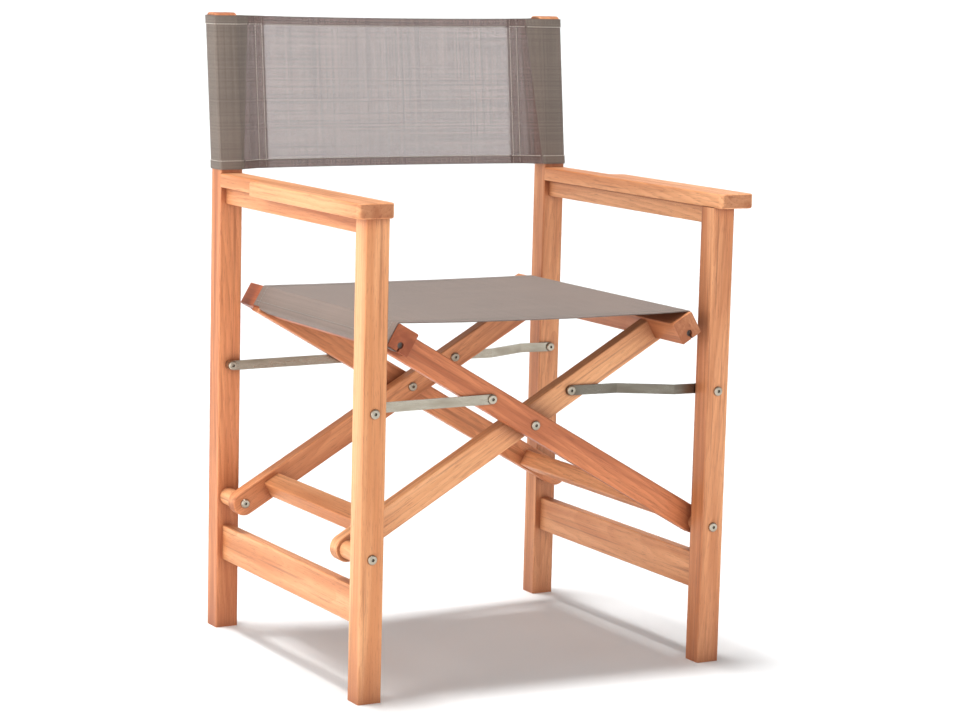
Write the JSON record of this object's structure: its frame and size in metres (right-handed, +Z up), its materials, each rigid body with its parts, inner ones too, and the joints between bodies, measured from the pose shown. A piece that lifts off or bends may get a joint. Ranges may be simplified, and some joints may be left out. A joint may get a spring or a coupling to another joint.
{
  "type": "folding chair",
  "caption": "Folding director's chair with crossed wooden legs, flat wooden arms, steel straps, a canvas seat and a canvas back.",
  "frame": {"origin": "on the floor, under the centre of the chair's bounding box", "axes": "+Z up, the sitter faces -Y, +X is towards the right of the chair as seen from the front"},
  "size_m": [0.606, 0.5289, 0.88],
  "materials": {
    "wood": "oiled hardwood, satin",
    "canvas": "plain woven outdoor canvas, taupe",
    "steel": "plated, slightly dulled",
    "edge_cord": "matte"
  },
  "bodies": {
    "left_side_frame": {"left_arm_dowels": "wood", "left_armrest": "wood", "left_back_panel": "canvas", "left_back_sleeve": "canvas", "left_front_post": "wood", "left_lower_rail": "wood", "left_pivot_bolts": "steel", "left_pivot_nuts": "steel", "left_pivot_spacers": "wood", "left_rear_post": "wood", "left_strap_bolts": "steel", "left_strap_nuts": "steel", "left_strap_spacers": "steel", "left_upper_rail": "wood"},
    "inner_leg_frame": {"centre_bolts": "steel", "centre_nuts": "steel", "centre_spacers": "wood", "inner_front_leg": "wood", "inner_leg_strap_screw": "steel", "inner_rear_leg": "wood", "inner_stretcher": "wood", "right_keder_rod": "edge_cord", "right_rail_dowels": "wood", "right_seat_rail": "wood", "seat_sling_right": "canvas"},
    "outer_leg_frame": {"left_keder_rod": "edge_cord", "left_rail_dowels": "wood", "left_seat_rail": "wood", "outer_front_leg": "wood", "outer_leg_strap_screw": "steel", "outer_rear_leg": "wood", "outer_stretcher": "wood", "seat_sling_left": "canvas"},
    "right_side_frame": {"right_arm_dowels": "wood", "right_armrest": "wood", "right_back_panel": "canvas", "right_back_sleeve": "canvas", "right_front_post": "wood", "right_lower_rail": "wood", "right_pivot_bolts": "steel", "right_pivot_nuts": "steel", "right_pivot_spacers": "wood", "right_rear_post": "wood", "right_strap_bolts": "steel", "right_strap_nuts": "steel", "right_upper_rail": "wood"},
    "left_front_strap": {"left_front_strap": "steel", "left_front_strap_screw": "steel"},
    "left_rear_strap": {"left_rear_strap": "steel", "left_rear_strap_nut": "steel"},
    "right_front_strap": {"right_front_strap": "steel", "right_front_strap_screw": "steel"},
    "right_rear_strap": {"right_rear_strap": "steel", "right_rear_strap_nut": "steel"}
  },
  "joints": [
    {"name": "fold", "type": "hinge", "parent": "left_side_frame", "child": "inner_leg_frame", "pos_m": [-0.265, -0.005, 0.192], "axis": [0, -1, 0], "range_deg": [0, 46.96], "deforming": ["seat_sling_left", "seat_sling_right", "left_back_panel", "left_back_sleeve", "right_back_panel", "right_back_sleeve"]},
    {"name": "centre_pivot", "type": "hinge", "parent": "inner_leg_frame", "child": "outer_leg_frame", "pos_m": [0, -0.005, 0.345], "axis": [0, -1, 0], "range_deg": [-100, 0]},
    {"name": "right_foot_pivot", "type": "hinge", "parent": "outer_leg_frame", "child": "right_side_frame", "pos_m": [0.265, -0.005, 0.192], "axis": [0, -1, 0], "range_deg": [0, 46.97]},
    {"name": "left_front_strap_pivot", "type": "hinge", "parent": "left_side_frame", "child": "left_front_strap", "pos_m": [-0.265, -0.005, 0.383], "axis": [0, -1, 0], "range_deg": [0, 71.78]},
    {"name": "left_rear_strap_pivot", "type": "hinge", "parent": "left_side_frame", "child": "left_rear_strap", "pos_m": [-0.265, -0.005, 0.383], "axis": [0, -1, 0], "range_deg": [0, 71.78]},
    {"name": "right_front_strap_pivot", "type": "hinge", "parent": "right_side_frame", "child": "right_front_strap", "pos_m": [0.265, -0.005, 0.383], "axis": [0, -1, 0], "range_deg": [-71.78, 0]},
    {"name": "right_rear_strap_pivot", "type": "hinge", "parent": "right_side_frame", "child": "right_rear_strap", "pos_m": [0.265, -0.005, 0.383], "axis": [0, -1, 0], "range_deg": [-71.78, 0]}
  ],
  "couplings": [
    {"joint": "centre_pivot", "follows": "fold", "ratio": -2.1294},
    {"joint": "right_foot_pivot", "follows": "fold", "ratio": 1},
    {"joint": "left_front_strap_pivot", "follows": "fold", "ratio": 1.5282},
    {"joint": "left_rear_strap_pivot", "follows": "fold", "ratio": 1.5282},
    {"joint": "right_front_strap_pivot", "follows": "fold", "ratio": -1.5282},
    {"joint": "right_rear_strap_pivot", "follows": "fold", "ratio": -1.5282}
  ]
}
